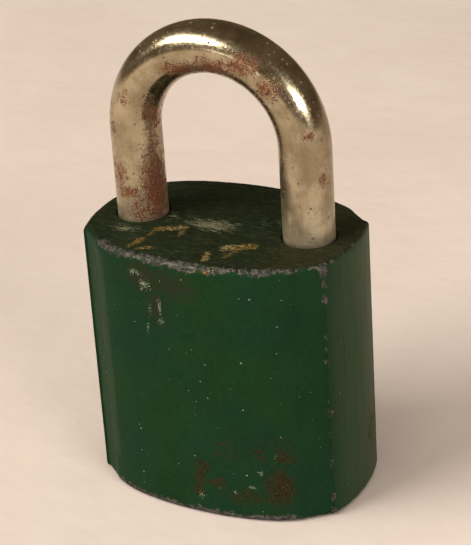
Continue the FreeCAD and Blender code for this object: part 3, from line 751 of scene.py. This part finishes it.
def paint_material():
    """Dark green paint: grimy on top, specked, scuffed, rusted low down and worn at its edges, with a
    painted highlight down the left ridge and painted sheen on its ends.
    """
    graph = Graph("case_paint")
    wide = graph.cloud(9.0, 3.0)
    fine = graph.cloud(0.5, 5.0)
    grit = graph.cloud(0.2, 3.0)
    streak = graph.cloud(1.1, 4.0, stretch=(1.0, 1.0, 0.06))
    height = graph.axis("Z")

    colour = graph.mix(graph.level(wide, 0.3, 0.7), (0.0070, 0.0262, 0.0084), (0.0092, 0.0335, 0.0108))
    bluer = graph.level(graph.cloud(15.0, 2.0), 0.42, 0.62, 0.0, 0.6)
    colour = graph.mix(bluer, colour, (0.0062, 0.0262, 0.0135))
    colour = graph.mix(graph.level(fine, 0.4, 0.75, 0.0, 0.4), colour, (0.016, 0.044, 0.018))
    colour = graph.mix(graph.level(grit, 0.35, 0.6, 0.35, 0.0), colour, (0.004, 0.016, 0.005))
    # Paler streak down the left soft ridge: partly paint rubbed thin, partly a painted highlight standing
    # in for the gloss line along that ridge.
    rub_and_highlight = graph.strokes([((-RIDGE, -12.0, 6.0), (-RIDGE, -12.0, 41.0), 1.3, 1.0)])
    rub_and_highlight = graph.math("MULTIPLY", graph.level(rub_and_highlight, 0.0, 1.0), graph.level(streak, 0.2, 0.7, 0.15, 0.5))
    colour = graph.mix(rub_and_highlight, colour, (0.042, 0.056, 0.034))
    # On both ends: a pale haze along scratch streaks, partly a dusty film and partly painted sheen, which
    # grows lighter from front to back as a grazing reflection would.
    end = graph.level(graph.math("ABSOLUTE", graph.axis("X")), 19.8, 21.4)
    scratches = graph.cloud(0.45, 5.0, stretch=(1.0, 1.0, 0.05), roughness=0.7)
    haze_and_sheen = graph.math("MULTIPLY", end, graph.level(scratches, 0.3, 0.55, 0.45, 1.0))
    outward = graph.level(graph.axis("Y"), -9.0, 7.0)
    colour = graph.mix(haze_and_sheen, colour, graph.mix(outward, (0.022, 0.042, 0.020), (0.045, 0.060, 0.031)))
    top = graph.level(height, TOP - 0.5, TOP - 0.1)
    grime = graph.math("MULTIPLY", top, graph.level(wide, 0.2, 0.7, 0.75, 1.0))
    colour = graph.mix(grime, colour, (0.0085, 0.0115, 0.0050))
    brown = graph.math("MULTIPLY", top, graph.level(graph.axis("X"), 8.0, 16.0, 0.0, 0.6))
    colour = graph.mix(brown, colour, (0.020, 0.017, 0.007))

    smear = graph.ragged(graph.spots(CASE_SMEAR), graph.cloud(0.8, 6.0, roughness=0.8), 0.1, 0.7, 1.8)
    colour = graph.mix(graph.math("MULTIPLY", smear, 0.85), colour, (0.0185, 0.0195, 0.0105))
    rust_area = graph.spots(CASE_RUST)
    stain = graph.ragged(rust_area, graph.cloud(1.2, 5.0), 0.05, 0.6, 0.7)
    colour = graph.mix(graph.math("MULTIPLY", stain, 0.8), colour, (0.020, 0.021, 0.008))
    rust = graph.blend(0.4, graph.cloud(0.36, 5.0), graph.cloud(1.7, 4.0))
    rust = graph.ragged(rust_area, rust, 0.5, 0.8, 3.0)
    rust_colour = graph.mix(graph.level(grit, 0.44, 0.66), (0.011, 0.009, 0.004), (0.072, 0.040, 0.011))
    colour = graph.mix(rust, colour, rust_colour)

    scuffs = graph.ragged(graph.spots(CASE_SCUFF), grit, 0.75, 0.95, 2.2)
    specks = graph.math("MAXIMUM", graph.specks(2.0, 0.5, 0.23), graph.specks(1.0, 0.22, 0.15))
    front = graph.math("SUBTRACT", 1.0, top)
    specks = graph.math("MULTIPLY", specks, graph.level(fine, 0.3, 0.6, 0.3, 1.0))
    pale = graph.math("MAXIMUM", scuffs, graph.math("MULTIPLY", specks, front))
    colour = graph.mix(pale, colour, (0.20, 0.22, 0.15))

    brushed = graph.cloud(0.45, 5.0, stretch=(0.35, 2.0, 1.0), roughness=0.78)
    dusty = graph.ragged(graph.spots(DUST), brushed, 0.35, 1.0, 2.2)
    film = graph.ragged(top, brushed, 0.95, 1.5, 1.4)
    dusty = graph.math("MAXIMUM", dusty, graph.math("MULTIPLY", film, 0.22))
    colour = graph.mix(dusty, colour, (0.13, 0.125, 0.075))
    strokes = graph.strokes(BRASS_STROKES)
    smudge = graph.ragged(strokes, graph.cloud(1.1, 4.0), 0.05, 0.9, 1.0)
    colour = graph.mix(graph.math("MULTIPLY", smudge, 0.6), colour, (0.070, 0.054, 0.018))
    brassy = graph.cloud(0.6, 6.0, stretch=(0.6, 1.3, 1.0), roughness=0.75)
    gold = graph.ragged(strokes, brassy, 0.4, 0.85, 2.2)
    gold_colour = graph.mix(graph.level(wide, 0.4, 0.6), (0.36, 0.19, 0.040), (0.56, 0.48, 0.22))
    gold_colour = graph.mix(graph.level(fine, 0.4, 0.62), (0.10, 0.065, 0.015), gold_colour)
    colour = graph.mix(gold, colour, gold_colour)

    bare = graph.ragged(graph.attribute("wear"), graph.cloud(0.8, 6.0, roughness=0.78), 0.42, 0.7, 1.5)
    metal = graph.mix(graph.level(grit, 0.35, 0.65), (0.045, 0.034, 0.032), (0.135, 0.125, 0.112))
    patches = graph.level(graph.cloud(0.7, 5.0), 0.43, 0.58, 0.0, 0.9)
    metal = graph.mix(patches, metal, (0.022, 0.030, 0.018))
    metal = graph.mix(graph.level(graph.axis("X"), -14.0, 2.0, 0.3, 0.0), metal, (0.026, 0.025, 0.020))
    colour = graph.mix(bare, colour, metal)

    graph.set("Base Color", colour)
    rough = graph.level(wide, 0.3, 0.7, 0.40, 0.48)
    rough = graph.math("ADD", rough, graph.level(fine, 0.4, 0.8, 0.0, 0.1))
    rough = graph.blend(grime, rough, 0.55)
    rough = graph.blend(end, rough, 0.42)
    rough = graph.blend(graph.math("MAXIMUM", rust, graph.math("MAXIMUM", pale, dusty)), rough, 0.85)
    rough = graph.blend(bare, rough, 0.5)
    rough = graph.blend(gold, rough, 0.38)
    graph.set("Roughness", rough)
    shine = graph.math("MAXIMUM", graph.math("MULTIPLY", bare, 0.35), graph.math("MULTIPLY", gold, 0.75))
    graph.set("Metallic", shine)
    graph.set("IOR", 1.1)
    graph.bump([
        (graph.cloud(1.4, 2.0), 0.012), (fine, 0.008), (graph.math("MULTIPLY", rust, grit), 0.05),
        (bare, -0.035), (graph.math("MULTIPLY", bare, fine), 0.03), (specks, 0.02),
        (graph.math("MULTIPLY", end, streak), 0.03), (gold, 0.02),
    ])
    return graph.material


def shackle_material():
    """Plated steel, dulled and streaked along the bar, with reddish rust in patches."""
    graph = Graph("shackle_steel")
    bar = graph.attribute("bar", "Vector")
    fine = graph.cloud(0.5, 5.0)
    grit = graph.cloud(0.2, 4.0)
    wide = graph.cloud(5.0, 3.0)
    streak = graph.cloud(0.7, 4.0, place=bar, stretch=(1.0, 1.0, 0.06))

    colour = graph.mix(graph.level(wide, 0.35, 0.65), (0.31, 0.247, 0.152), (0.48, 0.405, 0.268))
    colour = graph.mix(graph.level(streak, 0.45, 0.75, 0.0, 0.35), colour, (0.21, 0.17, 0.115))
    tarnish = graph.math("MULTIPLY", graph.level(graph.cloud(2.2, 5.0), 0.5, 0.75), 0.6)
    colour = graph.mix(tarnish, colour, (0.19, 0.145, 0.085))
    rust_area = graph.spots(BAR_RUST)
    stain = graph.ragged(rust_area, graph.cloud(1.3), 0.0, 0.7, 0.6)
    colour = graph.mix(graph.math("MULTIPLY", stain, 0.75), colour, (0.23, 0.105, 0.040))
    broken = graph.blend(0.4, graph.cloud(0.26, 5.0), graph.cloud(1.1))
    rust = graph.ragged(rust_area, broken, 0.50, 0.62, 2.9)
    clusters = graph.level(graph.cloud(2.4), 0.44, 0.56)
    freckles = graph.math("MULTIPLY", graph.specks(0.8, 0.6, 0.34), clusters)
    rust = graph.math("MAXIMUM", rust, graph.math("MULTIPLY", freckles, 0.85))
    rust_colour = graph.mix(graph.level(grit, 0.35, 0.65), (0.030, 0.011, 0.005), (0.175, 0.045, 0.011))
    colour = graph.mix(rust, colour, rust_colour)
    height = graph.axis("Z")
    # Darker, rougher band where each leg goes into the case, from just inside the hole to just above the
    # top.
    above = graph.level(height, TOP - 1.8, TOP - 0.6)
    below = graph.level(height, TOP + 0.1, TOP + 0.8, 1.0, 0.0)
    foot = graph.math("MULTIPLY", above, below)
    darker_at_hole = graph.ragged(foot, graph.cloud(0.9), 0.5, 1.2, 0.6)
    colour = graph.mix(graph.math("MULTIPLY", darker_at_hole, 0.7), colour, (0.06, 0.04, 0.022))

    graph.set("Base Color", colour)
    rough = graph.level(streak, 0.3, 0.7, 0.14, 0.25)
    rough = graph.math("ADD", rough, graph.level(height, BEND - 6.0, BEND + 2.0, 0.08, 0.0))
    rough = graph.math("ADD", rough, graph.level(fine, 0.4, 0.8, 0.0, 0.12))
    rough = graph.blend(graph.math("MAXIMUM", rust, graph.math("MULTIPLY", darker_at_hole, 0.7)), rough, 0.78)
    graph.set("Roughness", rough)
    dull = graph.math("MULTIPLY", graph.level(height, TOP + 1.0, TOP + 9.0, 1.0, 0.0), 0.5)
    dull = graph.math("MAXIMUM", dull, graph.math("MULTIPLY", stain, 0.4))
    graph.set("Metallic", graph.blend(graph.math("MAXIMUM", rust, dull), 0.97, 0.15))
    graph.bump([
        (streak, 0.006), (fine, 0.006),
        (graph.math("MULTIPLY", rust, grit), 0.06), (graph.cloud(2.0, 2.0), 0.01),
    ])
    return graph.material


def machined_material(name, pale, dark, rough, ring):
    """Turned metal: rings this far apart about the upright axis, a little tarnish and scratches."""
    graph = Graph(name)
    flat = graph.vector("MULTIPLY", graph.place, (1.0, 1.0, 0.0))
    radius = graph.vector("LENGTH", flat)
    turned = graph.math("SINE", graph.math("MULTIPLY", radius, 2 * math.pi / ring))
    cloudy = graph.cloud(1.6, 4.0)
    grit = graph.cloud(0.25, 4.0)
    scratch = graph.cloud(0.4, 3.0, stretch=(1.0, 0.12, 1.0))
    colour = graph.mix(graph.level(cloudy, 0.35, 0.7), pale, dark)
    colour = graph.mix(graph.level(grit, 0.55, 0.8, 0.0, 0.5), colour, dark)
    graph.set("Base Color", colour)
    dulled = graph.math("MULTIPLY", grit, cloudy)
    graph.set("Roughness", graph.level(dulled, 0.1, 0.45, rough, rough + 0.25))
    graph.set("Metallic", 1.0)
    graph.bump([(turned, 0.0015), (scratch, 0.006), (grit, 0.004)])
    return graph.material


def floor_material():
    """A plain, pale, warm sheet with a faint mottling."""
    graph = Graph("floor")
    soft = graph.cloud(60.0, 3.0)
    colour = graph.mix(graph.level(soft, 0.35, 0.65), (0.578, 0.490, 0.432), (0.612, 0.523, 0.466))
    graph.set("Base Color", colour)
    graph.set("Roughness", 0.7)
    graph.set("Specular IOR Level", 0.2)
    graph.bump([(graph.cloud(7.0, 2.0), 0.25)])
    return graph.material


def inside_metals():
    """One procedural metal for each material slot that the pieces inside use."""
    recipes = {
        "brass": ((0.66, 0.47, 0.19), (0.36, 0.23, 0.08), 0.25, 0.12),
        "hard_steel": ((0.55, 0.55, 0.56), (0.32, 0.31, 0.30), 0.16, 0.12),
        "actuator_steel": ((0.42, 0.41, 0.39), (0.2, 0.19, 0.17), 0.3, 0.25),
        "spring_steel": ((0.4, 0.4, 0.42), (0.16, 0.15, 0.15), 0.28, 0.12),
    }
    return {name: machined_material(name, *recipe) for name, recipe in recipes.items()}


def dress_inside_pieces(metals):
    """Gives each CAD node inside its metal. The springs' nodes are replaced afterwards."""
    for part in frame["record"]["subparts"]:
        if part["material_slot"] in metals:
            slots = frame["nodes"][part["node"]].material_slots
            slots[0].material = metals[part["material_slot"]]


# ---- Stage, light and camera --------------------------------------------------------------


def add_floor():
    """A flat sheet, far larger than the lock."""
    shell = bmesh.new()
    bmesh.ops.create_grid(shell, x_segments=40, y_segments=40, size=3.0)
    floor = finished_object(shell, "floor")
    floor.data.materials.append(floor_material())


def outwards(azimuth, elevation):
    """A direction from the lock, in degrees. Azimuth 0 is in front of it and 90 at its right."""
    turn, rise = math.radians(azimuth), math.radians(elevation)
    return Vector((math.sin(turn) * math.cos(rise), -math.cos(turn) * math.cos(rise), math.sin(rise)))


def add_softbox(name, azimuth, elevation, distance, width, height, power, colour, aim):
    """A rectangular light aimed at the lock."""
    back = outwards(azimuth, elevation)
    data = bpy.data.lights.new(name, "AREA")
    data.shape = "RECTANGLE"
    data.size = width
    data.size_y = height
    data.energy = power
    data.color = colour
    lamp = bpy.data.objects.new(name, data)
    lamp.location = aim + back * distance
    lamp.rotation_mode = "QUATERNION"
    lamp.rotation_quaternion = back.to_track_quat("Z", "Y")
    bpy.context.scene.collection.objects.link(lamp)
    return lamp


def add_lights(aim):
    """Two soft windows that show in the steel, a weak low one, and two that only light."""
    add_softbox("window_left", -45, 36, 1.50, 1.05, 0.44, 24.5, (1.0, 0.97, 0.90), aim)
    add_softbox("window_right", 60, 20, 1.50, 0.66, 0.32, 14.5, (1.0, 0.97, 0.94), aim)
    add_softbox("low_front", -14, 6, 1.50, 0.65, 0.12, 0.9, (1.0, 0.96, 0.90), aim)
    fill = add_softbox("fill", -10, 68, 1.60, 1.60, 1.60, 16.2, (1.0, 0.95, 0.88), aim)
    back = add_softbox("back", 165, 35, 1.60, 1.20, 1.20, 4.0, (1.0, 0.96, 0.90), aim)
    for lamp in (fill, back):
        lamp.visible_glossy = False
    world = bpy.data.worlds.new("studio")
    world.use_nodes = True
    backdrop = world.node_tree.nodes["Background"]
    backdrop.inputs["Color"].default_value = (0.125, 0.085, 0.05, 1.0)
    backdrop.inputs["Strength"].default_value = 1.0
    bpy.context.scene.world = world


def add_camera(middle):
    """Stands a little above the lock and to the right of its front, tilted slightly."""
    back = outwards(CAMERA_AZIMUTH, CAMERA_ELEVATION)
    level = outwards(CAMERA_AZIMUTH + 90, 0.0)
    rise = back.cross(level)
    roll = math.radians(CAMERA_ROLL)
    right = level * math.cos(roll) + rise * math.sin(roll)
    up = rise * math.cos(roll) - level * math.sin(roll)
    data = bpy.data.cameras.new("camera")
    data.lens = CAMERA_LENS
    data.sensor_width = 36.0
    data.clip_start = 0.01
    camera = bpy.data.objects.new("camera", data)
    aim = middle + CAMERA_AIM * MM
    turn = Matrix((right, up, back)).transposed().to_4x4()
    camera.matrix_world = Matrix.Translation(aim + back * CAMERA_DISTANCE * MM) @ turn
    bpy.context.scene.collection.objects.link(camera)
    bpy.context.scene.camera = camera


def dress(piece, material, node):
    """Gives a piece its material, and puts it in place of the CAD node."""
    piece.data.materials.clear()
    piece.data.materials.append(material)
    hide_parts(node)


def add_springs(material):
    """Five small springs behind the driver pins, and the large one under the long leg."""
    for number in range(1, PIN_COUNT + 1):
        node = f"driver_spring_{number}"
        coil = make_spring(node, (0, 1, 0), DRIVER_WIRE, DRIVER_TURNS)
        dress(coil, material, node)
    coil = make_spring("shackle_spring", (0, 0, 1), LIFT_WIRE, LIFT_TURNS)
    dress(coil, material, "shackle_spring")


case = make_case()
dress(case, paint_material(), "case")
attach(case, "case")
bar = make_bar()
cut_toe_notch(bar)
dress(bar, shackle_material(), "shackle")
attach(bar, "shackle")
metals = inside_metals()
dress_inside_pieces(metals)
add_springs(metals["spring_steel"])
add_floor()
middle = (cad_low + cad_high) / 2
add_lights(middle)
add_camera(middle)
bpy.context.scene.view_settings.view_transform = "Standard"
